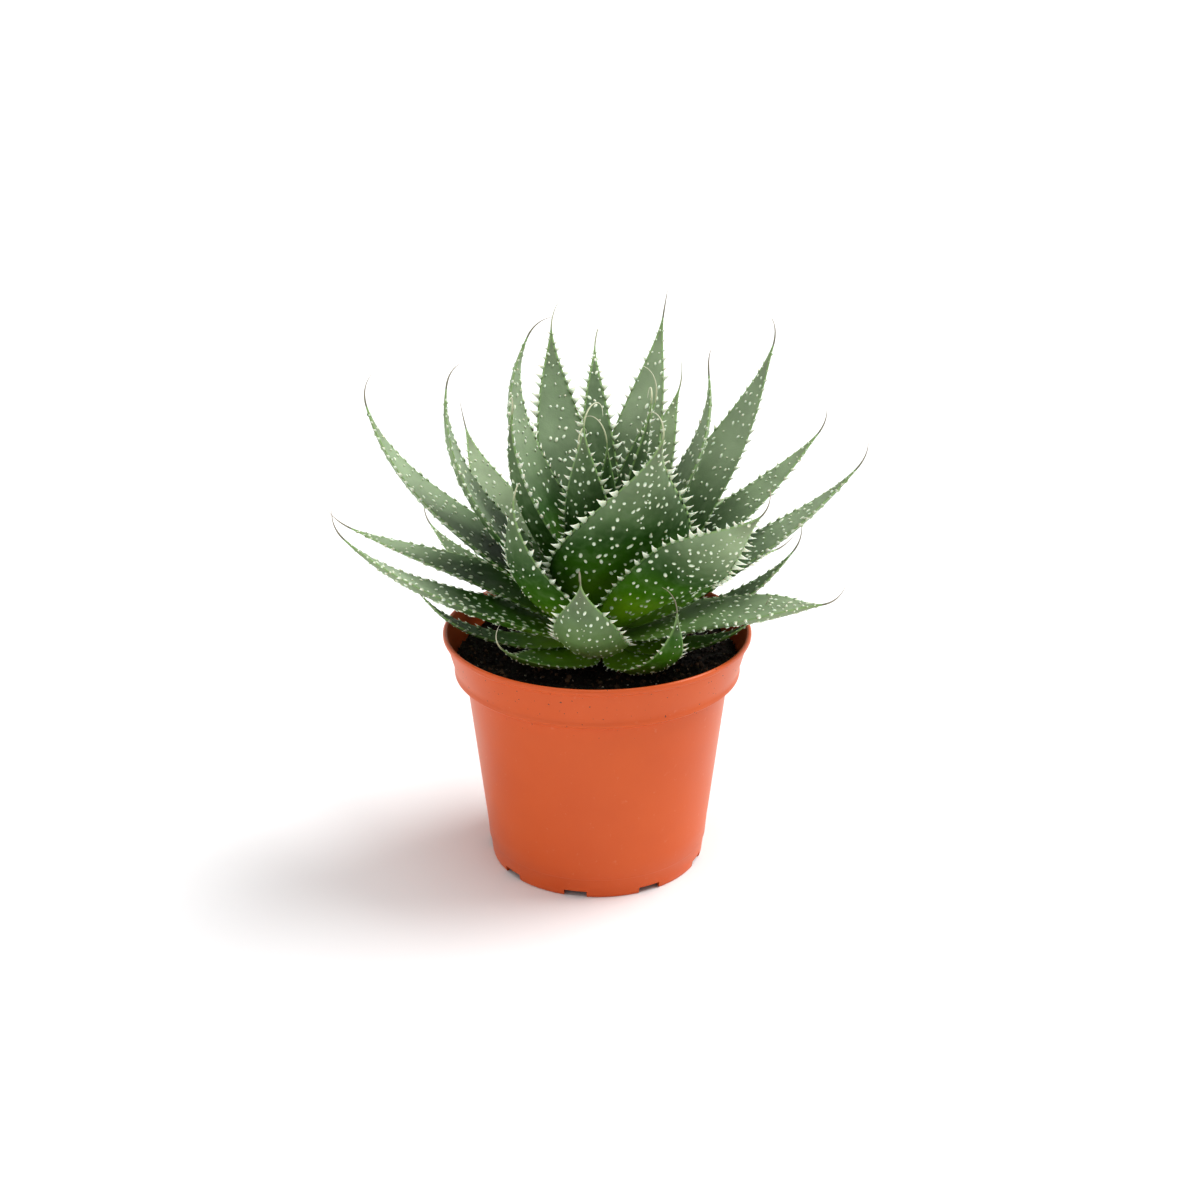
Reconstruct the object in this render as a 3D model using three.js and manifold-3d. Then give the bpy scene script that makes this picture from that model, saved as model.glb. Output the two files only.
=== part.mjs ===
// Potted lace aloe: a thin-walled plastic nursery pot, the potting mix in it, a short stem and a spiral
// rosette of fleshy leaves, each ending in a dry bristle.
// Millimetres, +Z up. The origin is the middle of the whole plant's footprint, on the surface under the
// pot's foot; the rosette leans back, so the pot's axis stands a little in front of it. Dimensions below
// are from the pot's axis. An azimuth is measured from +X (right) towards +Y (back), and a rise is an
// angle above the horizontal.
import * as THREE from 'three';
import { mergeVertices } from 'three/addons/utils/BufferGeometryUtils.js';
import Module from 'manifold-3d';

const wasm = await Module();
wasm.setup();

const RAD = Math.PI / 180;

// Pot
const POT_AXIS_X = -1;            // where the pot's axis stands in the frame
const POT_AXIS_Y = -7.6;
const POT_HEIGHT = 96;
const RIM_RADIUS = 60;            // outer, at the top edge
const RIM_LOWER_RADIUS = 55.2;    // outer, at the bottom of the rim band
const RIM_BAND_HEIGHT = 17.5;
const BODY_TOP_RADIUS = 51.5;     // outer, just under the rim band
const FOOT_RADIUS = 42.6;         // outer, where the pot meets the table
const WALL = 1.4;
const FLOOR_UNDERSIDE = 2.6;      // the floor is raised inside the foot ring
const FLOOR_THICKNESS = 1.6;
const POT_SIDES = 72;
const DRAIN_COUNT = 9;            // notches in the foot, each with a slot in the floor behind it
const DRAIN_FIRST_AZIMUTH = -101.5;
const DRAIN_WIDTH = 9;
const DRAIN_REACH = 8;            // how far a slot runs in from the wall

// Potting mix
const SOIL_TOP = 86;              // near the wall
const SOIL_DISH = 2;              // how much lower it is round the stem
const GAP = 0.3;                  // kept between pieces that touch
const SOIL_SIDES = 48;

// Stem
const CROWN_X = 3;                // the plant stands a little off the pot's axis
const CROWN_Z = 89;               // where the lowest leaves leave the stem
const STEM_RADIUS = 6.6;
const STEM_DOME = 37;             // height of the leafy part, which ends in a rounded growing point
const STEM_DEPTH = 26;            // how far the root crown goes down from CROWN_Z
const LEVEL_STEP = 3.5;           // height on the stem from one tier of leaves to the next

const PLASTIC = { color: 0xcf6236, roughness: 0.42, metalness: 0 };
const SOIL = { color: 0x2a2019, roughness: 0.98, metalness: 0 };
const STEM = { color: 0x8d9a62, roughness: 0.8, metalness: 0 };
const LEAF = { color: 0x47704a, roughness: 0.5, metalness: 0 };

function solid(geometry) {
  const bare = geometry.clone();
  bare.deleteAttribute('normal');
  bare.deleteAttribute('uv');
  const merged = mergeVertices(bare, 1e-3);
  return new wasm.Manifold(new wasm.Mesh({
    numProp: 3,
    vertProperties: merged.attributes.position.array,
    triVerts: new Uint32Array(merged.index.array),
  }));
}

function geometryOf(manifold) {
  const mesh = manifold.getMesh();
  const geometry = new THREE.BufferGeometry();
  geometry.setAttribute('position', new THREE.BufferAttribute(mesh.vertProperties, 3));
  geometry.setIndex(new THREE.BufferAttribute(mesh.triVerts, 1));
  return geometry;
}

// A closed profile of [radius, height] pairs turned about +Z.
function lathe(profile, sides) {
  const points = profile.map(([radius, height]) => new THREE.Vector2(radius, height));
  return new THREE.LatheGeometry(points, sides).rotateX(Math.PI / 2);
}

function piece(name, geometry, finish) {
  const mesh = new THREE.Mesh(geometry, new THREE.MeshStandardMaterial(finish));
  mesh.name = name;
  return mesh;
}

// The wall, the rim band folded down outside it, and the raised floor, in one moulding.
function pot() {
  const rimBottom = POT_HEIGHT - RIM_BAND_HEIGHT;
  const slope = (BODY_TOP_RADIUS - FOOT_RADIUS) / rimBottom;
  const outerAt = (z) => FOOT_RADIUS + slope * z;
  const floorTop = FLOOR_UNDERSIDE + FLOOR_THICKNESS;
  const shell = lathe([
    [0, FLOOR_UNDERSIDE],
    [outerAt(FLOOR_UNDERSIDE) - WALL, FLOOR_UNDERSIDE],
    [outerAt(0) - WALL, 0],
    [outerAt(0), 0],
    [outerAt(rimBottom), rimBottom],
    [RIM_LOWER_RADIUS, rimBottom],
    [RIM_RADIUS - 0.5, POT_HEIGHT - 0.6],
    [RIM_RADIUS - 0.6, POT_HEIGHT],
    [RIM_RADIUS - WALL - 0.4, POT_HEIGHT],
    [RIM_LOWER_RADIUS - WALL, rimBottom + WALL],
    [outerAt(rimBottom) - WALL, rimBottom + WALL],
    [outerAt(floorTop) - WALL, floorTop],
    [0, floorTop],
    [0, FLOOR_UNDERSIDE],
  ], POT_SIDES);
  let body = solid(shell);
  for (let i = 0; i < DRAIN_COUNT; i += 1) {
    const slot = new THREE.BoxGeometry(DRAIN_REACH, DRAIN_WIDTH, floorTop + 2);
    slot.translate(FOOT_RADIUS - WALL - DRAIN_REACH / 2, 0, floorTop / 2);
    const notch = new THREE.BoxGeometry(2 * DRAIN_REACH, DRAIN_WIDTH, 2 * FLOOR_UNDERSIDE);
    notch.translate(FOOT_RADIUS, 0, 0);
    const turn = (DRAIN_FIRST_AZIMUTH + (360 / DRAIN_COUNT) * i) * RAD;
    body = body.subtract(solid(slot.rotateZ(turn))).subtract(solid(notch.rotateZ(turn)));
  }
  return piece('pot', geometryOf(body), PLASTIC);
}

// The dome that the leaves stand on: its radius at a height above CROWN_Z.
function stemRadiusAt(height) {
  return STEM_RADIUS * Math.sqrt(1 - (height / STEM_DOME) ** 2);
}

function stemProfile(grow) {
  const points = [[0, CROWN_Z - STEM_DEPTH - grow]];
  points.push([3 + grow, CROWN_Z - STEM_DEPTH - grow]);
  points.push([STEM_RADIUS + grow, CROWN_Z - 8]);
  for (let i = 0; i < 8; i += 1) {
    const height = (STEM_DOME * i) / 8;
    points.push([stemRadiusAt(height) + grow, CROWN_Z + height]);
  }
  points.push([0, CROWN_Z + STEM_DOME + grow]);
  points.push([0, CROWN_Z - STEM_DEPTH - grow]);
  return points;
}

function stem() {
  return piece('stem', lathe(stemProfile(0), 16).translate(CROWN_X, 0, 0), STEM);
}

// The root ball fills the pot to just under the rim band, with a socket round the stem.
function soil() {
  const rimBottom = POT_HEIGHT - RIM_BAND_HEIGHT;
  const slope = (BODY_TOP_RADIUS - FOOT_RADIUS) / rimBottom;
  const innerAt = (z) => FOOT_RADIUS + slope * z - WALL - GAP;
  const floorTop = FLOOR_UNDERSIDE + FLOOR_THICKNESS + GAP;
  const shelf = rimBottom + WALL + GAP;
  const bandSlope = (RIM_RADIUS - RIM_LOWER_RADIUS) / RIM_BAND_HEIGHT;
  const bandAt = (z) => RIM_LOWER_RADIUS + bandSlope * (z - rimBottom) - WALL - GAP - 0.2;
  const plug = lathe([
    [0, floorTop],
    [innerAt(floorTop), floorTop],
    [innerAt(shelf), shelf],
    [bandAt(shelf), shelf],
    [bandAt(SOIL_TOP), SOIL_TOP],
    [46, SOIL_TOP],
    [32, SOIL_TOP - SOIL_DISH],
    [0, SOIL_TOP - SOIL_DISH],
    [0, floorTop],
  ], SOIL_SIDES);
  const socket = lathe(stemProfile(GAP), 16).translate(CROWN_X, 0, 0);
  return piece('potting_mix', geometryOf(solid(plug).subtract(solid(socket))), SOIL);
}

const AWN_START = 0.91;           // share of a leaf's length where the blade ends and the bristle starts
const AWN_RADIUS = 0.45;
const WIDEST = 0.28;              // share of the length where the blade is widest
const STATIONS = [0, 0.09, 0.18, 0.28, 0.39, 0.5, 0.61, 0.71, 0.8, 0.87, AWN_START, 0.95];

// Corners of a section: place across the blade (-1 to 1), and depth below the upper face as a share of
// the thickness. The two margins, the flat upper face and the keel underneath.
const SECTION = [[-1, 0.12], [-0.55, 0], [0, 0], [0.55, 0], [1, 0.12], [0.58, 0.78], [0, 1], [-0.58, 0.78]];

function widthShare(s) {
  if (s < WIDEST) return 0.38 + 0.62 * Math.sin((Math.PI / 2) * (s / WIDEST));
  const run = Math.min(1, (s - WIDEST) / (AWN_START + 0.01 - WIDEST));
  return (1 - run ** 1.7) ** 1.15;
}

function thicknessShare(s) {
  const rising = Math.min(1, 0.5 + 2 * s);
  return rising * Math.sqrt(Math.max(0, widthShare(Math.max(s, WIDEST))));
}

// Points, tangents and side directions along a leaf's midrib.
function midrib({ azimuth, tier, rise, tipRise, length, sweep }) {
  const height = LEVEL_STEP * tier;
  const start = stemRadiusAt(height) + GAP + 0.2;
  const point = new THREE.Vector3(
    CROWN_X + start * Math.cos(azimuth * RAD), start * Math.sin(azimuth * RAD), CROWN_Z + height);
  const steps = 100;
  const line = [];
  for (let i = 0; i <= steps; i += 1) {
    const s = i / steps;
    const up = (rise + (tipRise - rise) * s ** 1.3) * RAD;
    const heading = (azimuth + sweep * s ** 2) * RAD;
    const along = new THREE.Vector3(
      Math.cos(up) * Math.cos(heading), Math.cos(up) * Math.sin(heading), Math.sin(up));
    line.push({ point: point.clone(), along, up, heading });
    point.addScaledVector(along, length / steps);
  }
  return line;
}

// A leaf is a loft of eight-sided sections from the stem to the blade's tip, then a thin bristle.
function leaf(name, shape) {
  const line = midrib(shape);
  const corners = [];
  STATIONS.forEach((s) => {
    const { point, along, up, heading } = line[Math.round(s * 100)];
    const level = new THREE.Vector3(-Math.sin(heading), Math.cos(heading), 0);
    const roll = shape.roll * Math.min(1, s / 0.5) ** 2 * RAD;
    const side = level.clone().applyAxisAngle(along, roll);
    const upper = along.clone().cross(side);
    const reach = Math.hypot(point.x - CROWN_X, point.y);
    const half = Math.max(AWN_RADIUS, (shape.width / 2) * widthShare(s));
    const thick = Math.max(2 * AWN_RADIUS, shape.thick * thicknessShare(s));
    const bend = Math.min(1 / 6, Math.max(Math.sin(up) / reach, 1 / 45));
    SECTION.forEach(([across, depth]) => {
      const arc = across * half * bend;
      corners.push(point.clone()
        .addScaledVector(side, Math.sin(arc) / bend)
        .addScaledVector(upper, (1 - Math.cos(arc)) / bend - depth * thick));
    });
  });
  const tip = corners.length;
  corners.push(line.at(-1).point);
  const n = SECTION.length;
  const faces = [];
  for (let ring = 0; ring + 1 < STATIONS.length; ring += 1) {
    for (let i = 0; i < n; i += 1) {
      const a = ring * n + i;
      const b = ring * n + ((i + 1) % n);
      faces.push(a, b + n, b, a, a + n, b + n);
    }
  }
  const last = (STATIONS.length - 1) * n;
  for (let i = 0; i < n; i += 1) faces.push(last + ((i + 1) % n), last + i, tip);
  for (let i = 1; i + 1 < n; i += 1) faces.push(0, i, i + 1);
  const geometry = new THREE.BufferGeometry().setFromPoints(corners).setIndex(faces);
  return piece(name, geometry, LEAF);
}

// Each row: name, azimuth, tier on the stem, rise at the stem, rise at the tip, length, width,
// thickness, then how far the midrib sweeps round and how far the blade rolls by its tip.
const LEAVES = [
  ['outer_leaf_01', 187, 0.8, -6, 54, 76, 13, 3, 0, 0],
  ['outer_leaf_02', 224, -0.3, 2, 40, 54, 20, 3.2, 4, 0],
  ['outer_leaf_03', 300, -0.1, -5, 96, 72, 19, 3.4, -14, 0],
  ['outer_leaf_04', 347, 0.1, 0, 40, 58, 16, 3, -10, 0],
  ['outer_leaf_05', 8, 0.6, 10, 48, 83, 17, 3.4, 2, 0],
  ['outer_leaf_06', 42, 1.1, 17, -16, 106, 22, 3.8, 8, 0],
  ['outer_leaf_07', 68, 0, 6, 30, 84, 20, 3.4, 0, 0],
  ['outer_leaf_08', 110, 0.5, 8, 26, 82, 19, 3.6, 0, 0],
  ['outer_leaf_09', 148, 1.1, 13, 20, 98, 20, 3.6, -24, 0],
  ['outer_leaf_10', 199, 1.5, 18, 42, 117, 27, 4.4, 5, 0],
  ['outer_leaf_11', 262, 0.9, 10, 90, 73, 33, 4.6, -10, 0],
  ['outer_leaf_12', 344, 1.4, 20, 10, 92, 26, 4.2, -28, 0],
  ['outer_leaf_13', 92, 1.6, 20, 30, 90, 24, 4, 0, 0],
  ['outer_leaf_14', 172, 2.1, 28, -2, 112, 23, 4.2, -20, 0],
  ['middle_leaf_01', 309, 2.7, 43, 32, 111, 32, 4.8, -2, -45],
  ['middle_leaf_02', 8, 2.1, 28, 40, 119, 27, 4.6, -6, 0],
  ['middle_leaf_03', 50, 3.1, 27, -2, 116, 24, 4.2, -7, 0],
  ['middle_leaf_04', 227, 2.8, 28, 98, 84, 30, 4.8, -16, 0],
  ['middle_leaf_05', 173, 3.9, 31, 53, 129, 29, 4.8, 0, 0],
  ['middle_leaf_06', 135, 3.1, 28, 34, 115, 26, 4.4, -30, 0],
  ['middle_leaf_07', 289, 4, 63, 57, 102, 33, 4.8, 17, 0],
  ['middle_leaf_08', 20, 4, 36, 30, 115, 25, 4.2, 16, 0],
  ['middle_leaf_09', 179, 5.1, 33, 96, 114, 27, 4.4, 0, 0],
  ['middle_leaf_10', 37, 5.4, 37, 68, 129, 30, 4.4, -7, 0],
  ['middle_leaf_11', 90, 3.8, 36, 40, 92, 26, 4.2, 0, 0],
  ['inner_leaf_01', 60, 6.4, 54, 38, 95, 22, 4, 5, 0],
  ['inner_leaf_02', 156, 7, 51, 104, 113, 25, 4.2, 8, 0],
  ['inner_leaf_03', 111, 5.8, 45, 50, 127, 28, 4.4, -22, 0],
  ['inner_leaf_04', 206, 6, 49, 95, 92, 22, 4.2, -7, 0],
  ['inner_leaf_05', 12, 7.2, 55, 76, 97, 20, 4, 3, 0],
  ['inner_leaf_06', 66, 7.8, 66, 42, 114, 23, 4.2, -1, 0],
  ['inner_leaf_07', 252, 7.2, 62, 80, 83, 20, 4, 20, 0],
  ['inner_leaf_08', 329, 7.8, 81, 72, 80, 14, 3.6, 2, 0],
  ['inner_leaf_09', 98, 8.6, 77, 14, 104, 14, 3.4, -12, 0],
  ['inner_leaf_10', 44, 9.3, 80, 42, 70, 12, 3, 14, 0],
  ['inner_leaf_11', 178, 9, 80, 84, 52, 12, 2.8, -6, 0],
  ['inner_leaf_12', 280, 9.3, 86, 96, 54, 10, 2.6, 0, 0],
];

function rosette() {
  const group = new THREE.Group();
  LEAVES.forEach(([name, azimuth, tier, rise, tipRise, length, width, thick, sweep, roll]) => {
    group.add(leaf(name, { azimuth, tier, rise, tipRise, length, width, thick, sweep, roll }));
  });
  return group;
}

const plant = new THREE.Group();
plant.add(stem(), rosette());

const pottedAloe = new THREE.Group();
pottedAloe.add(pot(), soil(), plant);
pottedAloe.position.set(POT_AXIS_X, POT_AXIS_Y, 0);

export default pottedAloe;
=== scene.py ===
# Potted lace aloe: smooth fleshy leaves with soft teeth, rows of pale bumps and curled bristles,
# crumbly potting mix and a terracotta-coloured nursery pot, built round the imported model.
import math
import random

import bpy
import numpy as np
from mathutils import Matrix, Vector
from mathutils import noise as waves
from mathutils.bvhtree import BVHTree


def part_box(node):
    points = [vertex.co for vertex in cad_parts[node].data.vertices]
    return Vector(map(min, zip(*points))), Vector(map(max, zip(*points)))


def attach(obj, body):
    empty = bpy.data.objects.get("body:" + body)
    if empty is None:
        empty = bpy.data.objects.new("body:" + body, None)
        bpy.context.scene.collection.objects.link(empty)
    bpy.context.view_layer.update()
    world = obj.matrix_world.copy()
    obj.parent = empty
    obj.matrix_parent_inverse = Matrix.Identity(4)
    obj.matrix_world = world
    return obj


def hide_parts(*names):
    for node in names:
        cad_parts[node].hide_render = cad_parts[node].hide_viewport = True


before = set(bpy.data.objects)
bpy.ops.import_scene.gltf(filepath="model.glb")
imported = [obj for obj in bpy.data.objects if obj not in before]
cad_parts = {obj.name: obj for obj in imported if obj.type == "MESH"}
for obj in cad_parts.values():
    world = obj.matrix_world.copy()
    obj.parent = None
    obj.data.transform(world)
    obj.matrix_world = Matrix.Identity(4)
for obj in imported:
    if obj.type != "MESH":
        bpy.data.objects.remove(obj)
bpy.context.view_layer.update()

mm = 0.001
potLow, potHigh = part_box("pot")
potAxis = Vector(((potLow[0] + potHigh[0]) / 2, (potLow[1] + potHigh[1]) / 2, 0))
leafNames = sorted(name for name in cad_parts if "_leaf_" in name)
print("frame loaded:", len(leafNames), "leaves")


# small helpers

def deselectAll():
    if bpy.context.object and bpy.context.object.mode != "OBJECT":
        bpy.ops.object.mode_set(mode="OBJECT")
    bpy.ops.object.select_all(action="DESELECT")


def makeActive(piece):
    deselectAll()
    piece.select_set(True)
    bpy.context.view_layer.objects.active = piece


def applyModifiers(piece):
    makeActive(piece)
    for modifier in list(piece.modifiers):
        bpy.ops.object.modifier_apply(modifier=modifier.name)


def bakePlace(piece):
    makeActive(piece)
    bpy.ops.object.transform_apply(location=True, rotation=True, scale=True)


def copyOfNode(nodeName, pieceName):
    # the CAD mesh is loose triangles, so its corners are merged before it is shaped
    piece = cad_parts[nodeName].copy()
    piece.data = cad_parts[nodeName].data.copy()
    piece.name = pieceName
    piece.data.name = pieceName
    bpy.context.collection.objects.link(piece)
    makeActive(piece)
    bpy.ops.object.mode_set(mode="EDIT")
    bpy.ops.mesh.select_all(action="SELECT")
    bpy.ops.mesh.remove_doubles(threshold=0.002 * mm)
    bpy.ops.object.mode_set(mode="OBJECT")
    return piece


def removePiece(piece):
    mesh = piece.data
    bpy.data.objects.remove(piece)
    bpy.data.meshes.remove(mesh)


def meshPiece(name, points, faces):
    mesh = bpy.data.meshes.new(name)
    mesh.from_pydata([tuple(p) for p in points], [], [tuple(f) for f in faces])
    mesh.update()
    piece = bpy.data.objects.new(name, mesh)
    bpy.context.collection.objects.link(piece)
    return piece


def pointsOf(mesh):
    flat = np.empty(len(mesh.vertices) * 3)
    mesh.vertices.foreach_get("co", flat)
    return flat.reshape(-1, 3)


def setAttribute(mesh, name, values):
    attribute = mesh.attributes.get(name) or mesh.attributes.new(name, "FLOAT", "POINT")
    attribute.data.foreach_set("value", np.asarray(values, dtype=np.float32))


def getAttribute(mesh, name):
    values = np.empty(len(mesh.vertices), dtype=np.float32)
    mesh.attributes[name].data.foreach_get("value", values)
    return values


# shared shader groups

def newGroup(name, inputs, outputs):
    group = bpy.data.node_groups.new(name, "ShaderNodeTree")
    for label, kind, value in inputs:
        socket = group.interface.new_socket(label, in_out="INPUT", socket_type=kind)
        socket.default_value = value
    for label, kind in outputs:
        group.interface.new_socket(label, in_out="OUTPUT", socket_type=kind)
    nodes = group.nodes
    return group, nodes, nodes.new("NodeGroupInput"), nodes.new("NodeGroupOutput")


def mottleGroup():
    # soft uneven patches: a mask between 0 and 1 on object coordinates
    group, nodes, fed, out = newGroup("softMottle", [
        ("Scale", "NodeSocketFloat", 60.0), ("Detail", "NodeSocketFloat", 3.0),
        ("Low", "NodeSocketFloat", 0.35), ("High", "NodeSocketFloat", 0.65)],
        [("Mask", "NodeSocketFloat")])
    place = nodes.new("ShaderNodeTexCoord")
    noise = nodes.new("ShaderNodeTexNoise")
    spread = nodes.new("ShaderNodeMapRange")
    link = group.links.new
    link(place.outputs["Object"], noise.inputs["Vector"])
    link(fed.outputs["Scale"], noise.inputs["Scale"])
    link(fed.outputs["Detail"], noise.inputs["Detail"])
    link(noise.outputs["Fac"], spread.inputs["Value"])
    link(fed.outputs["Low"], spread.inputs["From Min"])
    link(fed.outputs["High"], spread.inputs["From Max"])
    link(spread.outputs["Result"], out.inputs["Mask"])
    return group


def fineGrainGroup():
    # a fine height for skin or moulded plastic
    group, nodes, fed, out = newGroup("fineGrain", [
        ("Scale", "NodeSocketFloat", 900.0), ("Strength", "NodeSocketFloat", 0.1),
        ("Distance", "NodeSocketFloat", 0.0003)],
        [("Normal", "NodeSocketVector"), ("Height", "NodeSocketFloat")])
    place = nodes.new("ShaderNodeTexCoord")
    noise = nodes.new("ShaderNodeTexNoise")
    noise.inputs["Detail"].default_value = 2.0
    bump = nodes.new("ShaderNodeBump")
    link = group.links.new
    link(place.outputs["Object"], noise.inputs["Vector"])
    link(fed.outputs["Scale"], noise.inputs["Scale"])
    link(noise.outputs["Fac"], bump.inputs["Height"])
    link(fed.outputs["Strength"], bump.inputs["Strength"])
    link(fed.outputs["Distance"], bump.inputs["Distance"])
    link(bump.outputs["Normal"], out.inputs["Normal"])
    link(noise.outputs["Fac"], out.inputs["Height"])
    return group


softMottle = mottleGroup()
fineGrain = fineGrainGroup()


def newMaterial(name, roughness, **settings):
    material = bpy.data.materials.new(name)
    material.use_nodes = True
    shader = material.node_tree.nodes["Principled BSDF"]
    shader.inputs["Roughness"].default_value = roughness
    for label, value in settings.items():
        shader.inputs[label.replace("_", " ")].default_value = value
    return material, material.node_tree.nodes, material.node_tree.links.new, shader


def useGroup(nodes, group, **values):
    node = nodes.new("ShaderNodeGroup")
    node.node_tree = group
    for label, value in values.items():
        node.inputs[label].default_value = value
    return node


def readAttribute(nodes, name):
    node = nodes.new("ShaderNodeAttribute")
    node.attribute_name = name
    return node.outputs["Fac"]


def ramp(nodes, link, source, stops):
    node = nodes.new("ShaderNodeValToRGB")
    elements = node.color_ramp.elements
    while len(elements) < len(stops):
        elements.new(0.5)
    for element, (place, colour) in zip(elements, stops):
        element.position = place
        element.color = (*colour, 1)
    link(source, node.inputs["Fac"])
    return node.outputs["Color"]


def mixColour(nodes, link, amount, first, second, mode="MIX"):
    node = nodes.new("ShaderNodeMix")
    node.data_type = "RGBA"
    node.blend_type = mode
    for slot, value in (("Factor", amount), ("A", first), ("B", second)):
        socket = [s for s in node.inputs if s.name == slot and s.type in (
            ("VALUE",) if slot == "Factor" else ("RGBA",))][0]
        if isinstance(value, bpy.types.NodeSocket):
            link(value, socket)
        elif slot == "Factor":
            socket.default_value = value
        else:
            socket.default_value = (*value, 1)
    return [s for s in node.outputs if s.type == "RGBA"][0]


def sums(nodes, link, operation, first, second, clamp=False):
    node = nodes.new("ShaderNodeMath")
    node.operation = operation
    node.use_clamp = clamp
    for slot, value in enumerate((first, second)):
        if isinstance(value, bpy.types.NodeSocket):
            link(value, node.inputs[slot])
        else:
            node.inputs[slot].default_value = value
    return node.outputs[0]


# materials

# yellowBase and freshGreen are partly the leaves' own colour and partly painted light through the leaf bases;
# shadedGreen is painted shade inside the rosette
leafColours = {
    "yellowBase": (0.34, 0.62, 0.012), "freshGreen": (0.085, 0.25, 0.004), "shadedGreen": (0.030, 0.10, 0.010),
    "greyGreenIn": (0.35, 0.45, 0.28), "greyGreenOut": (0.31, 0.405, 0.235), "tipBrown": (0.17, 0.18, 0.12),
    "margin": (0.30, 0.47, 0.17), "pale": (0.42, 0.52, 0.32), "bumpWhite": (0.82, 0.88, 0.72),
    # painted shade for leaves deep in the rosette
    "paintedShadeGreen": (0.022, 0.075, 0.008),
    "toothWhite": (0.86, 0.90, 0.76),
}


def skinTone(nodes, link):
    # leaves are yellow-green where they leave the stem, partly their own colour and partly painted light
    # shining through the leaf bases; the deep green band at middle distance from the crown is painted shade
    # inside the rosette, and they are greyer further out
    c = leafColours
    away = readAttribute(nodes, "fromCrown")
    inner = ramp(nodes, link, away, [
        (0.2, c["yellowBase"]), (0.36, c["freshGreen"]), (0.56, c["shadedGreen"]), (0.86, c["greyGreenIn"])])
    outer = ramp(nodes, link, away, [
        (0.3, c["yellowBase"]), (0.45, c["freshGreen"]), (0.6, c["shadedGreen"]), (0.9, c["greyGreenOut"])])
    skin = mixColour(nodes, link, readAttribute(nodes, "under"), inner, outer)
    # leaves deep in the rosette are darkened towards a dark green: painted shade
    skin = mixColour(nodes, link, readAttribute(nodes, "deepness"), skin, c["paintedShadeGreen"])
    return mixColour(nodes, link, readAttribute(nodes, "paleness"), skin, c["pale"])


def leafSkinMaterial():
    material, nodes, link, shader = newMaterial("leafSkin", 0.52, Subsurface_Weight=0.06,
                                                Specular_IOR_Level=0.2)
    shader.inputs["Subsurface Radius"].default_value = (0.4, 1.0, 0.2)
    shader.inputs["Subsurface Scale"].default_value = 1.5 * mm
    c = leafColours
    skin = skinTone(nodes, link)
    patches = useGroup(nodes, softMottle, Scale=70.0, Low=0.3, High=0.7)
    skin = mixColour(nodes, link, patches.outputs["Mask"], skin, (0.72, 0.72, 0.72), "MULTIPLY")
    streaks = useGroup(nodes, softMottle, Scale=260.0, Detail=4.0, Low=0.45, High=0.8)
    skin = mixColour(nodes, link, sums(nodes, link, "MULTIPLY", streaks.outputs["Mask"], 0.22), skin,
                     c["greyGreenOut"])
    dryEnd = nodes.new("ShaderNodeMapRange")
    dryEnd.inputs["From Min"].default_value = 0.86
    dryEnd.inputs["From Max"].default_value = 1.0
    link(readAttribute(nodes, "along"), dryEnd.inputs["Value"])
    dryness = sums(nodes, link, "MULTIPLY", dryEnd.outputs["Result"], 0.8)
    skin = mixColour(nodes, link, dryness, skin, c["tipBrown"])
    rim = nodes.new("ShaderNodeMapRange")
    rim.inputs["From Min"].default_value = 1.1
    rim.inputs["From Max"].default_value = 0.4
    link(readAttribute(nodes, "edgeDistance"), rim.inputs["Value"])
    marginShare = sums(nodes, link, "MULTIPLY", rim.outputs["Result"], 0.6)
    skin = mixColour(nodes, link, marginShare, skin, c["margin"])
    link(skin, shader.inputs["Base Color"])
    grain = useGroup(nodes, fineGrain, Scale=1400.0, Strength=0.25, Distance=0.0002)
    link(grain.outputs["Normal"], shader.inputs["Normal"])
    return material


def knobMaterial(name, top, low, high):
    # bumps and teeth start in the colour of the skin, painted light and painted shade included, and whiten
    # towards their tops
    material, nodes, link, shader = newMaterial(name, 0.5, Subsurface_Weight=0.1, Specular_IOR_Level=0.3)
    shader.inputs["Subsurface Scale"].default_value = 1.0 * mm
    foot = mixColour(nodes, link, 0.35, skinTone(nodes, link), leafColours["margin"])
    white = nodes.new("ShaderNodeMapRange")
    white.inputs["From Min"].default_value = low
    white.inputs["From Max"].default_value = high
    link(readAttribute(nodes, "reach"), white.inputs["Value"])
    link(mixColour(nodes, link, white.outputs["Result"], foot, top), shader.inputs["Base Color"])
    return material


def bristleMaterial():
    material, nodes, link, shader = newMaterial("dryBristle", 0.55)
    reach = readAttribute(nodes, "reach")
    blush = readAttribute(nodes, "blush")
    straw = ramp(nodes, link, reach, [
        (0.0, (0.30, 0.36, 0.18)), (0.25, (0.62, 0.64, 0.42)), (1.0, (0.88, 0.86, 0.70))])
    brown = ramp(nodes, link, reach, [
        (0.0, (0.12, 0.12, 0.08)), (0.5, (0.20, 0.15, 0.11)), (1.0, (0.42, 0.32, 0.25))])
    link(mixColour(nodes, link, blush, straw, brown), shader.inputs["Base Color"])
    return material


leafSkin = leafSkinMaterial()
paleBump = knobMaterial("paleBump", leafColours["bumpWhite"], 0.1, 0.75)
softTooth = knobMaterial("softTooth", leafColours["toothWhite"], -0.25, 0.6)
dryBristle = bristleMaterial()
print("leaf materials made")


# parts that repeat on every leaf, each modelled once

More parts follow.
